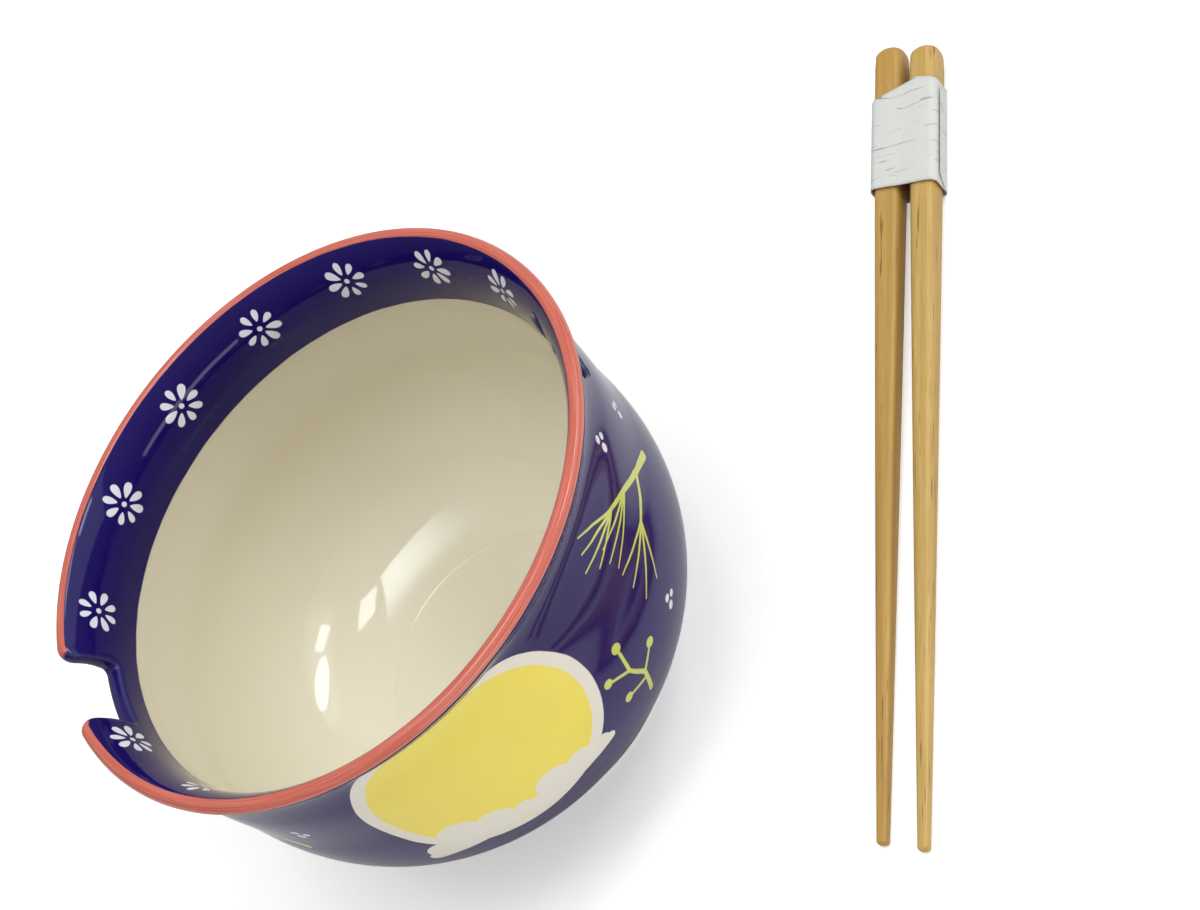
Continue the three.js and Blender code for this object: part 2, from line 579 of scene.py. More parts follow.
def new_ring(made: list) -> tuple[list[bmesh.types.BMVert], list[bmesh.types.BMEdge]]:
    """Picks the new outer ring from what an extrusion of edges has made.

    Args:
        made: The new points, edges and faces.

    Returns:
        The ring's points and its edges.
    """
    points = [item for item in made if isinstance(item, bmesh.types.BMVert)]
    fresh = set(points)
    edges = [item for item in made if isinstance(item, bmesh.types.BMEdge)]
    return points, [edge for edge in edges if fresh.issuperset(edge.verts)]


def free_layers(bm: bmesh.types.BMesh, names: Iterable[str]) -> None:
    """Removes scratch numbers from a mesh's points.

    Args:
        bm: The mesh.
        names: The names of the layers.
    """
    for name in names:
        bm.verts.layers.float.remove(bm.verts.layers.float[name])


def settle(
    bm: bmesh.types.BMesh, name: str, coats: list[bpy.types.Material], body: str
) -> bpy.types.Object:
    """Turns a mesh into a finished piece that rides on a body.

    Args:
        bm: The mesh, in the set's frame.
        name: The piece's name.
        coats: Its finishes.
        body: The CAD body that it moves with.

    Returns:
        The piece.
    """
    for face in bm.faces:
        face.smooth = True
    mesh = bpy.data.meshes.new(name)
    bm.to_mesh(mesh)
    bm.free()
    for coat in coats:
        mesh.materials.append(coat)
    piece = bpy.data.objects.new(name, mesh)
    bpy.context.scene.collection.objects.link(piece)
    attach(piece, body)
    log.info("%s: %d points, %d faces", name, len(mesh.vertices), len(mesh.polygons))
    return piece


@dataclass
class Bowl:
    """The glazed bowl: one turned wall with a rolled lip, a notch and two holes across from it."""

    axis: Vector
    rim_radius: float = 80 * MM
    height: float = 103 * MM
    lip_roll: float = 2 * MM
    lip_lean: float = math.radians(40)
    lip_reach: float = 5 * MM
    neck_depth: float = 20 * MM
    shoulder_radius: float = 75.2 * MM
    waist_radius: float = 73.6 * MM
    waist_height: float = 60 * MM
    belly_fullness: float = 30 * MM
    neck_wall: float = 4.8 * MM
    waist_wall: float = 4.2 * MM
    foot_radius: float = 45 * MM
    foot_width: float = 5 * MM
    foot_height: float = 4.6 * MM
    foot_recess: float = 6 * MM
    foot_slope: float = 1.5 * MM
    foot_rounding: float = 0.9 * MM
    foot_sweep: tuple[float, float] = (13 * MM, 11 * MM)
    well_radius: float = 34.8 * MM
    base_thickness: float = 7.6 * MM
    well_dish: float = 0.6 * MM
    well_bead: float = 0.3 * MM
    well_bead_width: float = 0.5 * MM
    well_sweep: tuple[float, float] = (18 * MM, 3 * MM)
    notch_half: float = 10.75 * MM
    notch_depth: float = 13.8 * MM
    notch_corner: float = 1.6 * MM
    notch_shoulder: float = 4 * MM
    notch_reach: float = 34 * MM
    notch_squareness: float = 3.6
    notch_fan: float = 6 * MM
    hole_radius: float = 4.8 * MM
    hole_pitch: float = 13.2 * MM
    hole_depth: float = 12.4 * MM
    hole_rounding: float = 1.0 * MM
    cavity_top: float = 78 * MM
    picture_top: float = 97 * MM
    hole_columns: int = 12
    hole_rows: int = 6
    rows_below_holes: int = 18
    rows_above_holes: int = 5
    low_rows: int = 24
    cap_rows: int = 14
    notch_columns: int = 64
    plain_columns: int = 72
    lip: Vector = field(init=False)
    curves: dict[str, list[Curve]] = field(default_factory=dict, init=False)
    heights: list[float] = field(init=False)
    belly: Curve = field(init=False)
    cavity: Curve = field(init=False)
    edge: Walk = field(init=False)

    def __post_init__(self) -> None:
        """Draws the wall's curves."""
        lean = Vector((math.cos(self.lip_lean), -math.sin(self.lip_lean)))
        along = Vector((math.sin(self.lip_lean), math.cos(self.lip_lean))) * self.lip_reach
        self.lip = Vector((self.rim_radius - self.lip_roll, self.height - self.lip_roll))
        neck = self.height - self.neck_depth
        third = (neck - self.waist_height) / 3
        pull = self.neck_depth / 2
        for side, sign in (("outer", 1), ("inner", -1)):
            inset = 0 if sign > 0 else 1
            waist = Vector((self.waist_radius - inset * self.waist_wall, self.waist_height))
            shoulder = Vector((self.shoulder_radius - inset * self.neck_wall, neck))
            edge = self.lip + sign * lean * self.lip_roll
            rise = Vector((0, third))
            lower = Curve(waist, waist + rise, shoulder - rise, shoulder)
            upper = Curve(shoulder, shoulder + Vector((0, pull)), edge - along, edge)
            self.curves[side] = [lower, upper]
        fine = 600
        self.heights = [self.wall(2 * step / fine, 0).y for step in range(fine + 1)]
        full = Vector((0, self.belly_fullness))
        foot = Vector((self.foot_radius, self.foot_height))
        waist = self.curves["outer"][0].start
        self.belly = Curve(waist, waist - full, foot + Vector(self.foot_sweep), foot)
        well = Vector((self.well_radius, self.foot_recess + self.base_thickness))
        waist = self.curves["inner"][0].start
        self.cavity = Curve(well, well + Vector(self.well_sweep), waist - full, waist)
        quarter = math.pi / 2
        corner = self.notch_corner + self.lip_roll
        shoulder = self.notch_shoulder - self.lip_roll
        self.edge = Walk(
            start=Vector((0, self.height - self.notch_depth - self.lip_roll)),
            heading=0,
            stretches=[
                (self.notch_half - self.notch_corner, 0),
                (corner * quarter, quarter),
                (self.notch_depth - corner - shoulder, 0),
                (shoulder * quarter, -quarter),
                (self.notch_reach - self.notch_half - self.notch_shoulder, 0),
            ],
        )

    def wall(self, climb: float, across: float) -> Vector:
        """Gives a point in the wall's section.

        Args:
            climb: The way up, 0 at the waist, 1 at the shoulder and 2 at the lip.
            across: The way through, -1 at the inside and 1 at the outside.

        Returns:
            Its radius and height.
        """
        part = 1 if climb > 1 else 0
        outside = self.curves["outer"][part].at(climb - part)
        inside = self.curves["inner"][part].at(climb - part)
        return (inside + outside) / 2 + across * (outside - inside) / 2

    def climb_at(self, height: float) -> float:
        """Finds the way up the wall at a height of its middle."""
        above = min(max(bisect(self.heights, height), 1), len(self.heights) - 1)
        low, high = self.heights[above - 1], self.heights[above]
        return 2 * (above - 1 + (height - low) / (high - low)) / (len(self.heights) - 1)

    def spot(
        self, azimuth: float, climb: float, across: float, past: float = 0, aside: float = 0
    ) -> Vector:
        """Gives a point of the wall in space.

        Args:
            azimuth: The direction from the axis.
            climb: The way up the wall.
            across: The way through it.
            past: A distance past the edge, on along the wall.
            aside: A distance sideways, to growing azimuth.

        Returns:
            The point, with the axis at zero.
        """
        flat = self.wall(climb, across)
        if past:
            along = (self.wall(climb, 0) - self.wall(climb - 0.01, 0)).normalized()
            flat = flat + along * past
        outward = Vector((math.cos(azimuth), math.sin(azimuth), 0))
        sideways = Vector((-math.sin(azimuth), math.cos(azimuth), 0))
        return outward * flat.x + UP * flat.y + sideways * aside

    def wall_shares(self) -> list[float]:
        """Gives the rows of the wall as shares of the way up, with even rows round the holes."""
        middle = self.height - self.hole_depth
        step = self.hole_pitch / 2 / self.hole_rows
        low = middle - step * self.hole_rows
        high = middle + step * self.hole_rows
        below = (low - self.waist_height) / self.rows_below_holes
        above = (self.lip.y - high) / self.rows_above_holes
        heights = [self.waist_height + below * row for row in range(self.rows_below_holes)]
        heights += [low + step * row for row in range(2 * self.hole_rows)]
        heights += [high + above * row for row in range(self.rows_above_holes + 1)]
        return [self.climb_at(height) / 2 for height in heights]

    def foot_line(self) -> list[Vector]:
        """Gives the outline from the belly's end round the foot ring to the axis."""
        side = Vector((self.foot_radius, self.foot_height))
        outer = Vector((self.foot_radius, 0))
        inner = Vector((self.foot_radius - self.foot_width, 0))
        roof = Vector((self.foot_radius - self.foot_width - self.foot_slope, self.foot_recess))
        centre = Vector((0, self.foot_recess))
        line = fillet(self.belly.at(0.96), side, outer, self.foot_rounding * 1.4)
        line += fillet(side, outer, inner, self.foot_rounding)
        line += fillet(outer, inner, roof, self.foot_rounding)
        line += fillet(inner, roof, centre, self.foot_rounding * 2)
        return [*line, roof * 0.5 + centre * 0.5, centre]

    def well_line(self) -> list[Vector]:
        """Gives the outline of the well from the axis to its bead."""
        edge = self.cavity.start
        centre = edge - Vector((self.well_radius, self.well_dish))
        line = [centre + (edge - centre) * share for share in (0, 0.3, 0.6, 0.85, 0.95)]
        for step in range(-5, 6):
            distance = step * self.well_bead_width / 2
            rise = self.well_bead * math.exp(-((distance / self.well_bead_width) ** 2))
            base = edge + Vector((distance, 0))
            if distance > 0:
                base = self.cavity.at(distance / (3 * self.well_sweep[0]))
            line.append(base + Vector((0, rise)))
        return line

    def profile(self, bm: bmesh.types.BMesh) -> list[bmesh.types.BMVert]:
        """Draws the section of the bowl as a line of points with their places in the wall.

        Args:
            bm: The mesh to draw in.

        Returns:
            The points, from the well's middle over the lip to the underside's middle.
        """
        share_of = bm.verts.layers.float.new("share")
        across_of = bm.verts.layers.float.new("across")
        turn_of = bm.verts.layers.float.new("turn")
        inside_of = bm.verts.layers.float.new("inside")
        run_of = bm.verts.layers.float.new("run")
        points: list[bmesh.types.BMVert] = []

        def add(flat: Vector, share: float, across: float, turn: float, inside: float, run: float) -> None:
            """Adds one point to the line."""
            point = bm.verts.new((flat.x, 0, flat.y))
            point[share_of] = share
            point[across_of] = across
            point[turn_of] = turn
            point[inside_of] = inside
            point[run_of] = run
            points.append(point)

        far = 60 * MM
        quarter = self.lip_roll * math.pi / 2
        shares = self.wall_shares()
        length = self.lip.y - self.waist_height
        start = 0.06
        for flat in self.well_line():
            add(flat, -1, 0, -1, 1, -far)
        for step in range(self.low_rows):
            add(self.cavity.at(start + (1 - start) * step / self.low_rows), -1, 0, -1, 1, -far)
        for share in shares:
            add(self.wall(2 * share, -1), share, -1, -1, 1, -quarter - (1 - share) * length)
        for step in range(1, self.cap_rows):
            turn = math.pi * step / self.cap_rows
            flat = self.spot(0, 2, -math.cos(turn), self.lip_roll * math.sin(turn))
            run = (turn - math.pi / 2) * self.lip_roll
            add(Vector((flat.x, flat.z)), 1, 0, turn, 0.5 + 0.5 * math.cos(turn), run)
        for share in reversed(shares):
            add(self.wall(2 * share, 1), share, 1, -1, 0, quarter + (1 - share) * length)
        for step in range(1, self.low_rows):
            add(self.belly.at(0.97 * step / (self.low_rows - 1)), -1, 0, -1, 0, far)
        for flat in self.foot_line():
            add(flat, -1, 0, -1, 0, far)
        return points

    def turn(self, bm: bmesh.types.BMesh) -> None:
        """Spins the section round the axis, with finer steps at the notch and the holes.

        Args:
            bm: The mesh, which gets the whole surface.
        """
        line = self.profile(bm)
        lines = [bm.edges.new(pair) for pair in zip(line, line[1:])]
        front: list = [*line, *lines]
        hole_half = self.hole_pitch / self.neck_radius()
        notch_half = self.notch_angle()
        plain = math.pi - hole_half - notch_half
        bmesh.ops.rotate(bm, verts=line, cent=(0, 0, 0), matrix=Matrix.Rotation(-hole_half, 3, "Z"))
        sectors = (
            (2 * hole_half, 4 * self.hole_columns),
            (plain, self.plain_columns),
            (2 * notch_half, 2 * self.notch_columns),
            (plain, self.plain_columns),
        )
        for angle, steps in sectors:
            spun = bmesh.ops.spin(bm, geom=front, axis=UP, angle=angle, steps=steps, cent=(0, 0, 0))
            front = spun["geom_last"]
        bmesh.ops.remove_doubles(bm, verts=bm.verts, dist=1e-6)

    def neck_radius(self) -> float:
        """Gives the radius of the wall's middle at the holes."""
        return self.wall(self.climb_at(self.height - self.hole_depth), 0).x

    def notch_angle(self) -> float:
        """Gives the half angle of the stretch of wall that the notch shapes."""
        return math.asin(self.notch_reach / self.lip.x)

    def cut_notch(self, bm: bmesh.types.BMesh) -> None:
        """Draws the wall down into the notch, so that its edge follows the notch's outline.

        Args:
            bm: The spun surface.
        """
        layers = bm.verts.layers.float
        share_of, across_of, turn_of = layers["share"], layers["across"], layers["turn"]
        rim_of = layers.new("rim")
        thin_of = layers.new("thin")
        half = self.notch_angle()
        total = self.edge.total()
        lengths = [length for length, _ in self.edge.stretches]
        side_start = sum(lengths[:2])
        shoulder_start = sum(lengths[:3])
        rim_start = sum(lengths[:4])
        fan = self.notch_fan / self.waist_radius
        for point in bm.verts:
            point[rim_of] = 1
            if point[share_of] < 0:
                continue
            azimuth = math.atan2(point.co.y, point.co.x) % math.tau - math.pi
            if abs(azimuth) >= half * 0.9999:
                continue
            sign = 1 if azimuth >= 0 else -1
            distance = self.edge.distance(abs(azimuth) / half, 3)
            place, heading = self.edge.at(distance)
            cut = 1 - smooth(shoulder_start, rim_start, distance)
            climb = self.climb_at(place.y)
            spread = fan * smooth(side_start, rim_start, distance)
            spread *= 1 - smooth(rim_start, total, distance)
            angle = math.asin(place.x / self.wall(climb, 0).x) + spread * (1 - point[share_of])
            bearing = math.pi + sign * angle
            point[rim_of] = 1 - cut
            turn = point[turn_of]
            if turn < 0:
                point.co = self.spot(bearing, climb * point[share_of], point[across_of])
                continue
            power = 2 / (2 + (self.notch_squareness - 2) * cut)
            across = -math.copysign(abs(math.cos(turn)) ** power, math.cos(turn))
            past = self.lip_roll * math.sin(turn) ** power
            aside = -sign * math.sin(heading) * past
            point.co = self.spot(bearing, climb, across, math.cos(heading) * past, aside)
            corner = abs(abs(turn - math.pi / 2) - math.pi / 4)
            point[thin_of] = cut * math.exp(-((corner / 0.3) ** 2))

    def cut_holes(self, bm: bmesh.types.BMesh) -> None:
        """Opens the two holes in the neck and lines them with a rounded bore.

        Args:
            bm: The spun surface.
        """
        layers = bm.verts.layers.float
        share_of, across_of, turn_of = layers["share"], layers["across"], layers["turn"]
        ring_of = layers.new("ring")
        radius = self.neck_radius()
        column = self.hole_pitch / radius / (2 * self.hole_columns)
        middle = self.height - self.hole_depth
        step = self.hole_pitch / 2 / self.hole_rows
        mouth = self.hole_radius + self.hole_rounding
        opened = 2 / 3
        blocks: dict[tuple[int, int], dict[bmesh.types.BMVert, float]] = {}
        for point in bm.verts:
            if point[share_of] < 0 or point[turn_of] >= 0:
                continue
            azimuth = math.atan2(point.co.y, point.co.x)
            place = azimuth / column
            if abs(place) > 2 * self.hole_columns + 0.5:
                continue
            sign = 1 if place >= 0 else -1
            right = (abs(place) - self.hole_columns) / self.hole_columns
            up = (self.wall(2 * point[share_of], 0).y - middle) / (step * self.hole_rows)
            reach = max(abs(right), abs(up))
            if reach > 0.999:
                continue
            key = (sign, round(point[across_of]))
            blocks.setdefault(key, {})[point] = reach
            point[ring_of] = math.atan2(up, right)
            blend = max(reach - opened, 0) / (1 - opened)
            half = self.hole_pitch / 2
            aim = Vector((right, up)).normalized() * mouth if reach else Vector((0, 0))
            moved = aim * (1 - blend) + Vector((right, up)) * half * blend
            bearing = sign * (half + moved.x) / radius
            point.co = self.spot(bearing, self.climb_at(middle + moved.y), point[across_of])
        gone = [
            face
            for block in blocks.values()
            for face in {face for point in block for face in point.link_faces}
            if all(block.get(point, 1) < opened + 0.01 for point in face.verts)
        ]
        bmesh.ops.delete(bm, geom=gone, context="FACES")
        for sign in (1, -1):
            block = {point for point in blocks[(sign, 1)] if point.is_valid}
            edges = [edge for edge in bm.edges if edge.is_boundary and block.issuperset(edge.verts)]
            self.line_hole(bm, edges, sign)
        bmesh.ops.remove_doubles(bm, verts=bm.verts, dist=1e-6)

    def bore(self) -> list[tuple[float, float, float]]:
        """Gives the rings of a hole's lining from the outside in, with both its edges rounded.

        Returns:
            The radius of each ring, its way through the wall and how thin the glaze runs on it.
        """
        mouth = self.hole_radius + self.hole_rounding
        depth = self.hole_rounding / (self.neck_wall / 2)
        rings = []
        for step in range(1, 5):
            angle = math.pi / 2 * step / 4
            size = mouth - self.hole_rounding * math.sin(angle)
            rings.append((size, 1 - depth * (1 - math.cos(angle)), math.sin(2 * angle)))
        rings += [(size, -across, thin) for size, across, thin in reversed(rings)]
        return [*rings, (mouth, -1, 0)]

    def line_hole(self, bm: bmesh.types.BMesh, edges: list[bmesh.types.BMEdge], sign: int) -> None:
        """Lines a hole from its outer edge to its inner one.

        Args:
            bm: The surface with the hole open.
            edges: The hole's outer edge.
            sign: On which side of the middle the hole is, 1 or -1.
        """
        ring_of = bm.verts.layers.float["ring"]
        thin_of = bm.verts.layers.float["thin"]
        middle = self.height - self.hole_depth
        for size, across, thin in self.bore():
            fresh, edges = new_ring(bmesh.ops.extrude_edge_only(bm, edges=edges)["geom"])
            for point in fresh:
                aim = Vector((math.cos(point[ring_of]), math.sin(point[ring_of]))) * size
                bearing = sign * (self.hole_pitch / 2 + aim.x) / self.neck_radius()
                point.co = self.spot(bearing, self.climb_at(middle + aim.y), across)
                point[thin_of] = thin

    def mark_zones(self, bm: bmesh.types.BMesh) -> None:
        """Gives each face the glaze of its zone, with the seams where both sides look the same.

        Args:
            bm: The finished surface, with the axis at zero.
        """
        inside_of = bm.verts.layers.float["inside"]
        for face in bm.faces:
            height = face.calc_center_median().z
            within = min(point[inside_of] for point in face.verts)
            without = max(point[inside_of] for point in face.verts)
            if within > 0.99 and height < self.cavity_top:
                face.material_index = Zone.CAVITY.value
            elif without < 0.01 and height < self.picture_top:
                face.material_index = Zone.OUTSIDE.value
            else:
                face.material_index = Zone.NECK.value

    def build(self, glaze: Glaze) -> bpy.types.Object:
        """Makes the bowl.

        Args:
            glaze: Its finish.

        Returns:
            The piece.
        """
        bm = bmesh.new()
        self.turn(bm)
        self.cut_notch(bm)
        self.cut_holes(bm)
        free_layers(bm, ("share", "across", "turn", "ring"))
        bmesh.ops.recalc_face_normals(bm, faces=bm.faces)
        self.mark_zones(bm)
        bmesh.ops.translate(bm, verts=bm.verts, vec=self.axis)
        coats = [glaze.material(zone, self.axis) for zone in Zone]
        piece = settle(bm, "glazed_bowl", coats, "bowl")
        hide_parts("bowl")
        return piece


class GlazePaint(Paint):
    """The bowl's glaze in the making, with its places in degrees round and millimetres up the bowl."""

    def __init__(self, name: str, axis: Vector) -> None:
        """Starts the material.

        Args:
            name: The material's name.
            axis: The bowl's axis.
        """
        super().__init__(name)
        x, y, z = (part * 1000 for part in self.place(axis))
        self.height = z
        self.degrees = y.math("ARCTAN2", x) * math.degrees(1)
        self.radius = (x * x + y * y).math("SQRT")
        self.inside = self.number("inside").past(0.5, 0.1)
        self.wobble = (self.noise(None, 150, 1) - 0.5) * 0.5

    def number(self, name: str) -> Field:
        """Reads a number that the mesh carries."""
        return self.field(self.attribute(name).outputs["Fac"])

    def sheet(self, azimuth: float, height: float, period: float = 360) -> bpy.types.NodeSocket:
        """Lays a drawing on the wall.

        Args:
            azimuth: The direction of the drawing's zero, in degrees.
            height: The height of its zero, in millimetres.
            period: After how many degrees it repeats.

        Returns:
            The place in the drawing, in millimetres to the right as seen from outside, and up.
        """
        turn = (self.degrees - azimuth).math("WRAP", period / 2, -period / 2)
        right = turn * self.radius * math.radians(1)
        return self.vector(right + self.wobble, self.height - height + self.wobble, 0.0)

    def specks(self) -> Field:
        """Gives the mask of a few pinholes in the dark glaze."""
        cells = self.tree.nodes.new("ShaderNodeTexVoronoi")
        cells.inputs["Scale"].default_value = 120
        coordinates = self.tree.nodes.new("ShaderNodeTexCoord")
        self.tree.links.new(coordinates.outputs["Object"], cells.inputs["Vector"])
        rare = self.field(cells.outputs["Color"]).past(0.86, 0.01)
        return self.field(cells.outputs["Distance"]).under(0.022, 0.012).both(rare)


@dataclass(frozen=True)
class Daisies:
    """The eight-petalled flowers round the inside of the neck, in millimetres and degrees.

    They stand on either side between the holes and the notch, wider apart towards the notch.
    """

    height: float = 94.6
    each_side: int = 7
    first_near: float = 24.0
    first_far: float = 19.6
    step: float = 21.4
    growth: float = 0.33
    clear_of_holes: float = 14
    petals: int = 8
    petal_middle: float = 3.9
    petal_half_length: float = 1.9
    petal_half_width: float = 0.93
    heart: float = 0.75

    def mask(self, paint: GlazePaint) -> Field:
        """Gives the mask of the flowers.

        Args:
            paint: The material in the making.

        Returns:
            The mask.
        """
        turn = paint.degrees.math("ABSOLUTE")
        far = paint.degrees.math("GREATER_THAN", 0)
        onward = turn - paint.between(far, self.first_near, self.first_far)
        root = (onward * (4 * self.growth) + self.step**2).math("MAXIMUM", 0).math("SQRT")
        count = ((root - self.step) / (2 * self.growth)).math("ROUND")
        count = count.math("MAXIMUM", 0).math("MINIMUM", self.each_side - 1)
        right = (onward - (count * self.growth + self.step) * count) * paint.radius * math.radians(1)
        up = (paint.height - self.height) * 1.06
        flower = far * 20 + count
        petals = self.petal_mask(paint, right, up, flower)
        return petals.both(turn.past(self.clear_of_holes, 1))

    def petal_mask(self, paint: GlazePaint, right: Field, up: Field, flower: Field) -> Field:
        """Gives the mask of one flower, each petal a little different.

        Args:
            paint: The material in the making.
            right: The place in the flower, sideways.
            up: The place in the flower, up.
            flower: The flower's number.

        Returns:
            The mask.
        """
        wedge = math.tau / self.petals
        distance = (right * right + up * up).math("SQRT")
        sector = up.math("ARCTAN2", right) / wedge + flower * 0.37
        petal = sector.math("ROUND")
        angle = (sector - petal) * wedge
        chance = paint.tree.nodes.new("ShaderNodeTexWhiteNoise")
        chance.noise_dimensions = "2D"
        place = paint.vector(petal.math("WRAP", self.petals, 0), flower, 0.0)
        paint.tree.links.new(place, chance.inputs["Vector"])
        luck = paint.field(chance.outputs["Value"]) - 0.5
        length = luck * 0.6 + self.petal_half_length
        along = (distance * angle.math("COSINE") - self.petal_middle) / length
        width = luck * 0.25 + self.petal_half_width
        aside = distance * angle.math("SINE") / width / (along * 0.42 + 1)
        petals = (along * along + aside * aside).under(1, 0.3)
        return petals.either(distance.under(self.heart, 0.2))


class Zone(Enum):
    """The glaze's zones, as the bowl's material slots."""

    CAVITY = 0
    NECK = 1
    OUTSIDE = 2


@dataclass(frozen=True)
class Glaze:
    """The bowl's glazes: navy with painted decoration, cream inside and a brushed coral lip."""

    navy: Colour = from_screen(29, 16, 100)
    navy_deep: Colour = from_screen(22, 12, 78)
    navy_thin: Colour = from_screen(78, 82, 112)
    violet: Colour = from_screen(42, 24, 98)
    violet_deep: Colour = from_screen(30, 17, 76)
    cream: Colour = from_screen(228, 221, 201)
    cream_warm: Colour = from_screen(222, 213, 190)
    coral: Colour = from_screen(195, 98, 84)
    coral_pale: Colour = from_screen(213, 130, 115)
    coral_deep: Colour = from_screen(180, 84, 70)
    white: Colour = from_screen(224, 224, 235)
    paper: Colour = from_screen(232, 226, 214)
    yellow: Colour = from_screen(246, 228, 100)
    yellow_deep: Colour = from_screen(240, 218, 90)
    leaf: Colour = from_screen(204, 208, 104)
    clay: Colour = from_screen(214, 200, 178)
    daisies: Daisies = Daisies()

    def picture(self, paint: GlazePaint, ground: bpy.types.NodeSocket) -> bpy.types.NodeSocket:
        """Paints the outside: a roundel among clouds, pine sprigs, berry twigs and dots.

        Args:
            paint: The material in the making.
            ground: The colour to paint on.

        Returns:
            The painted colour.
        """
        far = cloud(0, 0, 1.3) + cloud(-14, 13, 0.85)
        colour = paint.mix(paint.strokes(paint.sheet(-87, 49, 120), far), ground, self.paper)
        roundel = paint.sheet(-87, 70)
        colour = paint.mix(paint.strokes(roundel, [dab(0, 0, 33)]), colour, self.paper)
        wash = paint.mix(paint.noise(None, 40, 3), self.yellow, self.yellow_deep)
        colour = paint.mix(paint.strokes(roundel, [dab(0, 0, 29.4)]), colour, wash)
        near = cloud(-17, -23.5, 1.35) + cloud(9, -27, 1.15)
        colour = paint.mix(paint.strokes(roundel, near), colour, self.paper)
        sprig = [
            *line([(0, 0), (-9, 6), (-18, 13), (-26, 18)], 1.2, 0.6),
            *line([(-9, 6), (-15, 4), (-21, 3)], 0.8, 0.6),
            *needles((-26, 18), 163, 44, 19, 4),
            *needles((-18, 13), 179, 26, 22, 3),
            *needles((-21, 3), 198, 60, 19, 4),
        ]
        twig = [
            *line([(0, 0), (1.5, 8), (-1, 15), (1, 24)], 0.8, 0.45),
            *line([(1.5, 8), (8, 12)], 0.5, 0.4),
            *line([(1, 6), (-6, 9)], 0.5, 0.4),
            *line([(-1, 15), (-7, 20)], 0.5, 0.4),
            dab(8, 12, 1.5),
            dab(-6, 9, 1.4),
            dab(-7, 20, 1.4),
            dab(1, 24, 1.6),
        ]
        leaves = paint.strokes(paint.sheet(-14, 61, 120), sprig)
        leaves = leaves.either(paint.strokes(paint.sheet(-56, 35, 120), twig))
        colour = paint.mix(leaves, colour, self.leaf)
        trio = [dab(0, 0, 1.2), dab(2.6, 1.4, 1.0), dab(0.4, 3.2, 1.1)]
        dots = paint.strokes(paint.sheet(-23, 84, 120), trio)
        for azimuth, height in ((-40, 42), (-129, 71)):
            dots = dots.either(paint.strokes(paint.sheet(azimuth, height, 120), trio))
        return paint.mix(dots, colour, self.white)

    def material(self, zone: Zone, axis: Vector) -> bpy.types.Material:
        """Makes the material of one zone.

        Args:
            zone: The zone.
            axis: The bowl's axis.

        Returns:
            The material.
        """
        paint = GlazePaint(f"glaze_{zone.name.lower()}", axis)
        pale = paint.mix(paint.noise(None, 16, 3), self.cream, self.cream_warm)
        gloss = paint.between(paint.noise(None, 60, 2), 0.035, 0.08)
        if zone is Zone.CAVITY:
            colour = pale
        elif zone is Zone.OUTSIDE:
            colour = self.picture(paint, self.dark_coat(paint, zone))
            bare = paint.height.under(0.8, 0.3)
            rough_clay = paint.mix(paint.noise(None, 700, 3), self.clay, self.cream_warm)
            colour = paint.mix(bare, colour, rough_clay)
            gloss = paint.between(bare, gloss, 0.85)
            paint.shader.inputs["Specular IOR Level"].default_value = 0.38
        else:
            flowers = self.daisies.mask(paint).both(paint.inside)
            colour = paint.mix(flowers, self.dark_coat(paint, zone), self.white)
            cream = paint.inside.both((paint.height + paint.wobble).under(81.7, 0.4))
            colour = paint.mix(cream, colour, pale)
            colour, coral, painted_shadow_line = self.lip(paint, colour)
            gloss = paint.between(coral, gloss, 0.13)
            # The shine drops along the painted shadow line under the lip.
            shine = paint.between(paint.inside, 0.5, 0.26) - painted_shadow_line * 0.4
            plug(paint.tree, paint.shader.inputs["Specular IOR Level"], shine)
        paint.colour(colour)
        paint.roughness(gloss)
        paint.bump(paint.noise(None, 55, 2), 0.08 * MM)
        return paint.material

    def dark_coat(self, paint: GlazePaint, zone: Zone) -> bpy.types.NodeSocket:
        """Gives the dark ground, navy inside and violet outside, paler where it runs thin over an edge.

        Args:
            paint: The material in the making.
            zone: The zone.

        Returns:
            The colour.
        """
        depth = paint.noise(None, 22, 3)
        coat = paint.mix(depth, self.violet, self.violet_deep)
        if zone is Zone.NECK:
            coat = paint.mix(paint.inside, coat, paint.mix(depth, self.navy, self.navy_deep))
        coat = paint.mix(paint.specks() * 0.5, coat, self.white)
        return paint.mix(paint.number("thin") * 0.5, coat, self.navy_thin)

    def lip(
        self, paint: GlazePaint, ground: bpy.types.NodeSocket
    ) -> tuple[bpy.types.NodeSocket, Field, Field]:
        """Brushes the lip with coral and a pale hem, and paints a shadow: a dark line just past its outer
        edge, where the lip's underside is in shade.

        Args:
            paint: The material in the making.
            ground: The colour to paint on.

        Returns:
            The painted colour, the mask of the coral and the mask of the painted shadow line.
        """
        run = paint.number("run") * 1000
        on_rim = paint.number("rim").past(0.5, 0.3)
        edge = run + paint.wobble * 0.5
        # Painted shadow: a dark violet line with less shine just past the coral, standing in for the shade
        # under the lip's roll.
        painted_shadow_line = edge.past(1.9, 0.2).both(edge.under(2.6, 0.3)).both(on_rim)
        colour = paint.mix(painted_shadow_line, ground, self.violet_deep)
        streaks = paint.noise(paint.vector(paint.degrees * 0.06, run * 3, 0.0), 1, 3)
        brushed = paint.mix(streaks.past(0.56, 0.34) * 0.7, self.coral, self.coral_pale)
        brushed = paint.mix(streaks.under(0.38, 0.16) * 0.7, brushed, self.coral_deep)
        brushed = paint.mix(edge.past(1.45, 0.2) * 0.8, brushed, self.coral_pale)
        coral = edge.past(-2.7, 0.2).both(edge.under(1.85, 0.2)).both(on_rim)
        return paint.mix(coral, colour, brushed), coral, painted_shadow_line


class Side(Enum):
    """Which stick of the pair."""

    LEFT = -1
    RIGHT = 1


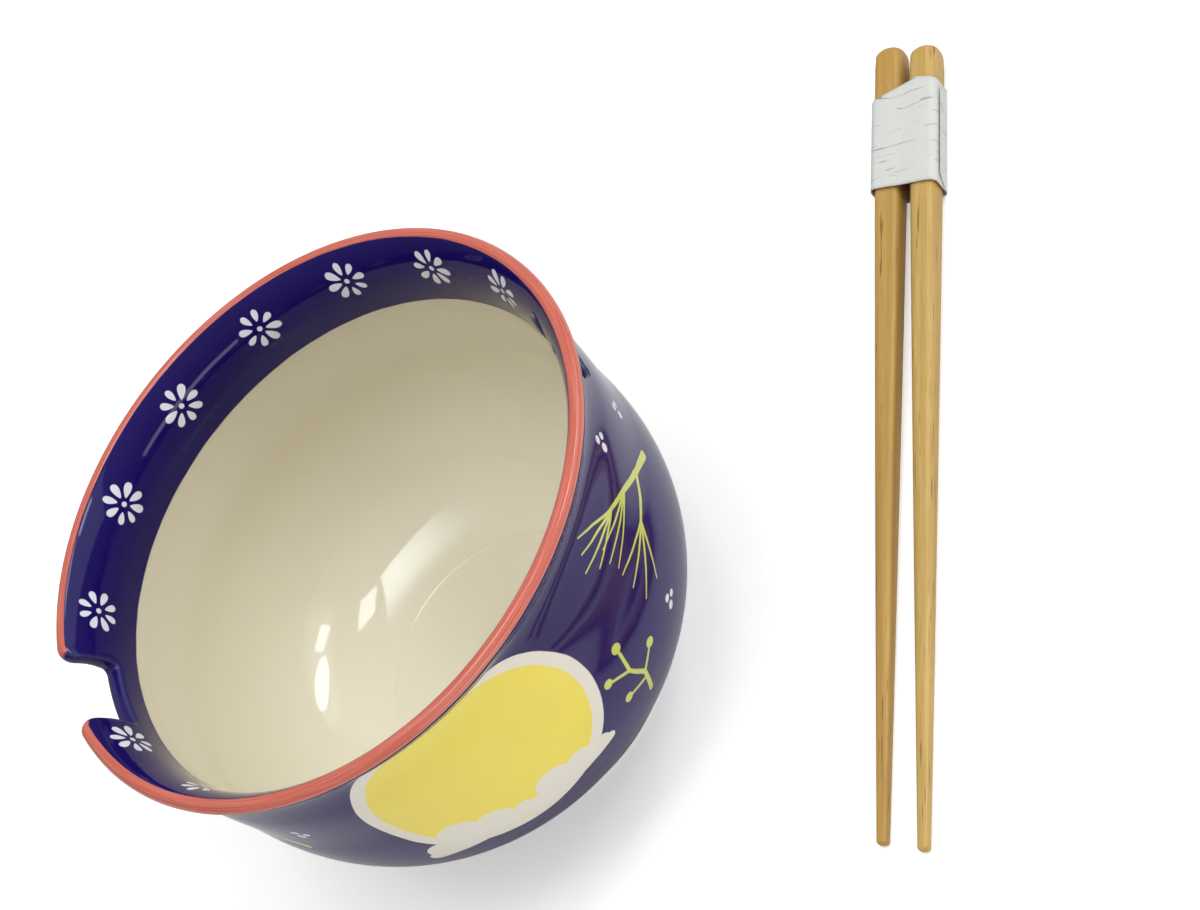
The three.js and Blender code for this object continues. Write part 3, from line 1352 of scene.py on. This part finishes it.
@dataclass(frozen=True)
class Lie:
    """How the pair lies beside the bowl: its own frame has +Z to the tips and +Y up.

    The sticks taper, so their middle line falls to the tips, and its height is known at the band's end.
    """

    axis: Vector
    bearing: float = math.radians(-29.3)
    distance: float = 115 * MM
    handle_reach: float = 170 * MM
    fall: float = 0.016234
    band_end: float = 47.9 * MM
    height_at_band_end: float = 4.769 * MM

    def matrix(self) -> Matrix:
        """Gives the pair's frame as a matrix."""
        across = Vector((math.cos(self.bearing), math.sin(self.bearing), 0))
        along = Vector((math.sin(self.bearing), -math.cos(self.bearing), -self.fall)).normalized()
        origin = self.axis + across * self.distance - along * self.handle_reach
        origin.z = self.height_at_band_end + self.fall * self.band_end
        turned = Matrix((across, along.cross(across), along)).transposed()
        return Matrix.Translation(origin) @ turned.to_4x4()


@dataclass(frozen=True)
class Bamboo:
    """Sanded bamboo."""

    pale: Colour = from_screen(200, 168, 97)
    deep: Colour = from_screen(183, 146, 76)
    fibre: Colour = from_screen(172, 126, 62)
    dash: Colour = from_screen(118, 80, 40)

    def material(self, name: str, shift: float) -> bpy.types.Material:
        """Makes the material.

        Args:
            name: The material's name.
            shift: Where in the grain the stick was cut.

        Returns:
            The material.
        """
        paint = Paint(name)
        grain = paint.attribute("grain").outputs["Vector"]
        cut = Vector((shift, shift, shift))
        drawn = paint.vector_math("MULTIPLY_ADD", grain, Vector((1, 1, 0.03)), cut).outputs[0]
        broad = paint.noise(drawn, 420, 2, 0.4)
        fibres = paint.noise(drawn, 2600, 3)
        short = paint.vector_math("MULTIPLY_ADD", grain, Vector((1, 1, 0.04)), cut).outputs[0]
        dashes = paint.noise(short, 1500, 1).past(0.705, 0.06)
        colour = paint.mix(broad.past(0.5, 0.5), self.pale, self.deep)
        colour = paint.mix(fibres.past(0.58, 0.3) * 0.55, colour, self.fibre)
        colour = paint.mix(dashes * 0.8, colour, self.dash)
        paint.colour(colour)
        paint.roughness(paint.between(fibres, 0.38, 0.6))
        paint.bump(fibres, 0.05 * MM, 0.6)
        return paint.material


BAMBOO = {
    Side.LEFT: Bamboo(pale=from_screen(192, 154, 81), deep=from_screen(173, 134, 63)),
    Side.RIGHT: Bamboo(),
}


@dataclass
class Chopstick:
    """One bamboo stick, square with soft edges and drawn thin to its tip."""

    side: Side
    length: float = 240 * MM
    thick: float = 8.5 * MM
    tip: float = 2.8 * MM
    taper: float = 1.2
    pitch: float = 10.8 * MM
    stagger: float = 3 * MM
    squareness: float = 4.4
    dome: float = 3 * MM
    tip_dome: float = 0.9 * MM
    ring_points: int = 56
    rings: int = 48
    dome_rings: int = 8

    def width(self, distance: float) -> float:
        """Gives the stick's side at a distance from its thick end."""
        return self.thick - (self.thick - self.tip) * (distance / self.length) ** self.taper

    def section(self, direction: Vector, distance: float) -> Vector:
        """Gives a point of the section for a width of 1, round at the thick end and square further on.

        Args:
            direction: The direction from the stick's axis.
            distance: The distance from the thick end.

        Returns:
            The point.
        """
        power = 2 + (self.squareness - 2) * smooth(0, 2 * self.dome, distance)
        reach = (abs(direction.x) ** power + abs(direction.y) ** power) ** (1 / power)
        return direction / reach / 2

    def stations(self) -> list[tuple[float, float]]:
        """Gives the rings as a distance along the stick and a size, with both ends domed."""
        turns = [math.pi / 2 * ring / self.dome_rings for ring in range(1, self.dome_rings)]
        rings = [(self.dome * (1 - math.cos(turn)), math.sin(turn) * self.thick) for turn in turns]
        body = self.length - self.dome - self.tip_dome
        for ring in range(self.rings + 1):
            distance = self.dome + body * ring / self.rings
            rings.append((distance, self.width(distance)))
        end = self.width(self.length - self.tip_dome)
        for turn in reversed(turns):
            distance = self.length - self.tip_dome * (1 - math.cos(turn))
            rings.append((distance, math.sin(turn) ** 0.6 * end))
        return rings

    def build(self, lie: Lie, bamboo: Bamboo) -> bpy.types.Object:
        """Makes the stick.

        Args:
            lie: How the pair lies.
            bamboo: Its finish.

        Returns:
            The piece.
        """
        bm = bmesh.new()
        grain_of = bm.verts.layers.float_vector.new("grain")
        ring = bmesh.ops.create_circle(bm, segments=self.ring_points, radius=1)["verts"]
        first_edges = edges = list(bm.edges)
        for number, (distance, size) in enumerate(self.stations()):
            if number:
                made = bmesh.ops.extrude_edge_only(bm, edges=edges)["geom"]
                ring, edges = new_ring(made)
            for point in ring:
                flat = self.section(point.co.xy.normalized(), distance) * size
                point.co = Vector((flat.x, flat.y, distance))
        bmesh.ops.edgeloop_fill(bm, edges=first_edges)
        bmesh.ops.edgeloop_fill(bm, edges=edges)
        ends = [face for face in bm.faces if len(face.verts) > 4]
        bmesh.ops.poke(bm, faces=ends)
        bmesh.ops.recalc_face_normals(bm, faces=bm.faces)
        for point in bm.verts:
            point[grain_of] = point.co
        start = -self.stagger if self.side is Side.LEFT else 0.0
        bmesh.ops.translate(bm, verts=bm.verts, vec=(self.side.value * self.pitch / 2, 0, start))
        bmesh.ops.transform(bm, verts=bm.verts, matrix=lie.matrix())
        node = f"{self.side.name.lower()}_chopstick"
        coat = bamboo.material(node, self.side.value * 0.1)
        piece = settle(bm, f"{self.side.name.lower()}_bamboo_stick", [coat], node)
        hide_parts(node)
        return piece


@dataclass(frozen=True)
class Washi:
    """Handmade paper with fibres."""

    white: Colour = from_screen(211, 211, 208)
    pulp: Colour = from_screen(200, 200, 197)
    grey: Colour = from_screen(128, 129, 136)
    spacing: float = 4.4 * MM

    def material(self) -> bpy.types.Material:
        """Makes the material."""
        paint = Paint("washi")
        sheet = paint.attribute("sheet").outputs["Vector"]
        drawn = paint.vector_math("MULTIPLY", sheet, Vector((0.3, 1, 1))).outputs[0]
        parts = paint.tree.nodes.new("ShaderNodeSeparateXYZ")
        paint.tree.links.new(sheet, parts.inputs[0])
        reach = paint.field(parts.outputs[1])
        fibres = None
        for spacing, bends, rarity in ((self.spacing, 150, 0.54), (self.spacing * 0.6, 230, 0.6)):
            level = reach / spacing + paint.noise(drawn, bends, 3) * 2.4
            distance = (level - level.math("ROUND")).math("ABSOLUTE")
            broken = paint.noise(drawn, bends * 1.7, 1).past(rarity, 0.1)
            strands = distance.under(0.05, 0.08).both(broken)
            fibres = fibres.either(strands) if fibres else strands
        pulp = paint.noise(sheet, 900, 4)
        colour = paint.mix(pulp, self.white, self.pulp)
        paint.colour(paint.mix(fibres * 0.7, colour, self.grey))
        paint.roughness(paint.between(pulp, 0.75, 0.95))
        paint.bump(pulp, 0.06 * MM, 0.5)
        return paint.material


@dataclass
class PaperBand:
    """The strip of paper round both sticks, with a peaked edge and its free end lapped on the right."""

    half_width: float = 9.9 * MM
    half_height: float = 4.45 * MM
    corner: float = 2.0 * MM
    thickness: float = 0.16 * MM
    start: float = 12.4 * MM
    length: float = 35.5 * MM
    gable: float = 4.5 * MM
    peak: float = 4.3 * MM
    skew: float = 2.2 * MM
    lap_lift: float = 0.5 * MM
    lap_cut: float = 3.0 * MM
    sag: float = 0.2 * MM
    steps_round: int = 150
    steps_along: int = 30

    def wrap(self) -> Walk:
        """Gives the way round the sticks, once round and up the right side again."""
        quarter = math.pi / 2
        bend = (self.corner * quarter, quarter)
        tall = (2 * (self.half_height - self.corner), 0)
        wide = (2 * (self.half_width - self.corner), 0)
        start = Vector((self.half_width, self.corner - self.half_height))
        return Walk(start, quarter, [tall, bend, wide, bend, tall, bend, wide, bend, tall])

    def build(self, lie: Lie, washi: Washi) -> bpy.types.Object:
        """Makes the band.

        Args:
            lie: How the pair lies.
            washi: Its finish.

        Returns:
            The piece.
        """
        wrap = self.wrap()
        total = wrap.total()
        tall = wrap.stretches[0][0]
        lap_start = total - tall
        bm = bmesh.new()
        sheet_of = bm.verts.layers.float_vector.new("sheet")
        bmesh.ops.create_grid(bm, x_segments=self.steps_round, y_segments=self.steps_along, size=0.5)
        for point in bm.verts:
            run = (point.co.x + 0.5) * total
            share = point.co.y + 0.5
            place, heading = wrap.at(run)
            lap = max(run - lap_start, 0) / tall
            outward = Vector((math.sin(heading), -math.cos(heading)))
            place += outward * (1.4 * self.thickness * run / total + self.lap_lift * lap * lap)
            top = place.y > self.half_height - self.corner
            slope = abs(place.x - self.peak) / (self.half_width + self.peak)
            if top:
                place.y -= self.sag * max(1 - abs(place.x) / (self.half_width / 2), 0)
            drop = self.gable * min(slope, 1)
            first = self.start + drop + self.lap_cut * lap
            slant = self.skew * place.x / self.half_width / 2
            last = self.start + self.length + slant - self.lap_cut * lap
            reach = first + (last - first) * share
            point[sheet_of] = (run, reach, 0)
            point.co = (place.x, place.y, reach)
        bmesh.ops.transform(bm, verts=bm.verts, matrix=lie.matrix())
        piece = settle(bm, "washi_band", [washi.material()], "paper_band")
        sheet = piece.modifiers.new("thickness", "SOLIDIFY")
        sheet.thickness = self.thickness
        sheet.offset = 1
        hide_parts("paper_band")
        return piece


class Face(Enum):
    """How a lamp's face is shaped, and whether it fades out towards one corner."""

    EVEN = ("RECTANGLE", False)
    OVAL = ("ELLIPSE", False)
    FADING = ("RECTANGLE", True)


@dataclass(frozen=True)
class Softbox:
    """A soft lamp that faces the bowl."""

    name: str
    direction: Vector
    wide: float
    tall: float
    watts: float
    turn: float = 0.0
    face: Face = Face.EVEN
    colour: Colour = (1, 1, 1)
    distance: float = 1.3

    def fade(self, data: bpy.types.AreaLight) -> None:
        """Lets the lamp's face fade out from one corner to the other.

        Args:
            data: The lamp.
        """
        data.use_nodes = True
        tree = data.node_tree
        surface = tree.nodes.new("ShaderNodeNewGeometry")
        parts = tree.nodes.new("ShaderNodeSeparateXYZ")
        tree.links.new(surface.outputs["Parametric"], parts.inputs[0])
        across = Field(tree, parts.outputs[0]).past(0.4, 0.6)
        along = Field(tree, parts.outputs[1]).past(0.475, 0.75)
        plug(tree, tree.nodes["Emission"].inputs["Strength"], across * along)

    def build(self, target: Vector) -> None:
        """Makes the lamp.

        Args:
            target: The point that it faces.
        """
        shape, fading = self.face.value
        data = bpy.data.lights.new(self.name, "AREA")
        data.shape = shape
        data.size = self.wide
        data.size_y = self.tall
        data.energy = self.watts
        data.color = self.colour
        if fading:
            self.fade(data)
        lamp = bpy.data.objects.new(self.name, data)
        bpy.context.scene.collection.objects.link(lamp)
        lamp.location = target + self.direction.normalized() * self.distance
        aim = self.direction.to_track_quat("Z", "Y")
        lamp.rotation_mode = "QUATERNION"
        lamp.rotation_quaternion = aim @ Quaternion((0, 0, 1), self.turn)


@dataclass
class Studio:
    """A white table under soft lamps."""

    target: Vector
    room_colour: Colour = (1, 0.95, 0.86)
    ambient: float = 0.57
    horizon: float = 0.13
    white_level: float = 1.2
    floor_half: float = 3.0
    floor_glow: float = 0.42
    floor_colour: Colour = (0.8, 0.8, 0.8)

    def lamps(self) -> list[Softbox]:
        """Gives the lamps."""
        return [
            Softbox(
                "overhead", Vector((-0.225, 0.022, 0.974)), 0.86, 0.89, watts=19.5, turn=math.radians(17),
                face=Face.FADING, colour=(0.84, 0.94, 1),
            ),
            Softbox("high_window", Vector((0.258, -0.059, 0.964)), 0.28, 0.2, 1.4, math.radians(10)),
            Softbox("near_window", Vector((0.68, -0.136, 0.72)), 0.24, 0.16, 1.1, math.radians(-18)),
            Softbox(
                "far_window", Vector((0.69, 0.179, 0.701)), 0.5, 0.24, watts=2.7, turn=math.radians(-22),
                face=Face.OVAL, colour=(0.88, 0.96, 1),
            ),
            Softbox("side_fill", Vector((0.8, 0.05, 0.6)), 1.5, 1.0, watts=5, distance=1.6),
            Softbox("low_front", Vector((0.25, -0.95, 0.12)), 1.2, 0.24, watts=3.4, distance=1.2),
        ]

    def floor(self) -> bpy.types.Object:
        """Makes the table top, which shows white and keeps the shadows."""
        bm = bmesh.new()
        bmesh.ops.create_grid(bm, x_segments=1, y_segments=1, size=self.floor_half)
        mesh = bpy.data.meshes.new("table")
        bm.to_mesh(mesh)
        bm.free()
        paint = Paint("table_white")
        paint.shader.inputs["Base Color"].default_value = (*self.floor_colour, 1)
        paint.shader.inputs["Roughness"].default_value = 0.9
        paint.shader.inputs["Emission Color"].default_value = (1, 1, 1, 1)
        path = paint.tree.nodes.new("ShaderNodeLightPath")
        seen = paint.field(path.outputs["Is Camera Ray"])
        plug(paint.tree, paint.shader.inputs["Emission Strength"], seen * self.floor_glow)
        mesh.materials.append(paint.material)
        floor = bpy.data.objects.new("table", mesh)
        bpy.context.scene.collection.objects.link(floor)
        return floor

    def sky(self) -> None:
        """Makes the even light of the room, which the camera sees as white."""
        world = bpy.data.worlds.new("room")
        world.use_nodes = True
        tree = world.node_tree
        background = tree.nodes["Background"]
        background.inputs["Color"].default_value = (*self.room_colour, 1)
        path = tree.nodes.new("ShaderNodeLightPath")
        seen = Field(tree, path.outputs["Is Camera Ray"]) * self.white_level
        direction = tree.nodes.new("ShaderNodeTexCoord")
        parts = tree.nodes.new("ShaderNodeSeparateXYZ")
        tree.links.new(direction.outputs["Generated"], parts.inputs[0])
        overhead = Field(tree, parts.outputs[2]).past(0.4, 0.9)
        light = overhead * (self.ambient - self.horizon) + self.horizon
        plug(tree, background.inputs["Strength"], light.either(seen))
        bpy.context.scene.world = world

    def build(self) -> None:
        """Makes the table, the room's light and the lamps."""
        self.floor()
        self.sky()
        for lamp in self.lamps():
            lamp.build(self.target)


@dataclass
class Camera:
    """The camera of the photograph, placed from the bowl's axis."""

    axis: Vector
    stand: Vector = field(default_factory=lambda: Vector((175.5, -434.3, 517.8)) * MM)
    target: Vector = field(default_factory=lambda: Vector((46.41, 47.757, 0)) * MM)
    roll: float = math.radians(-48.686)
    lens: float = 75.9

    def build(self) -> bpy.types.Object:
        """Makes the camera and gives it to the scene."""
        data = bpy.data.cameras.new("camera")
        data.lens = self.lens
        data.sensor_width = 36
        data.sensor_fit = "HORIZONTAL"
        camera = bpy.data.objects.new("camera", data)
        bpy.context.scene.collection.objects.link(camera)
        aim = (self.target - self.stand).to_track_quat("-Z", "Y")
        camera.rotation_mode = "QUATERNION"
        camera.rotation_quaternion = aim @ Quaternion((0, 0, 1), self.roll)
        camera.location = self.axis + self.stand
        bpy.context.scene.camera = camera
        return camera


def main() -> None:
    """Builds the set, the studio and the camera."""
    logging.basicConfig(level=logging.INFO, format="%(message)s")
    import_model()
    low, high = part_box("bowl")
    axis = Vector((high.x - Bowl.rim_radius, (low.y + high.y) / 2, 0))
    Bowl(axis).build(Glaze())
    lie = Lie(axis)
    for side in Side:
        Chopstick(side).build(lie, BAMBOO[side])
    PaperBand().build(lie, Washi())
    Studio(axis).build()
    Camera(axis).build()
    bpy.context.scene.view_settings.view_transform = "Standard"


if __name__ == "__main__":
    main()
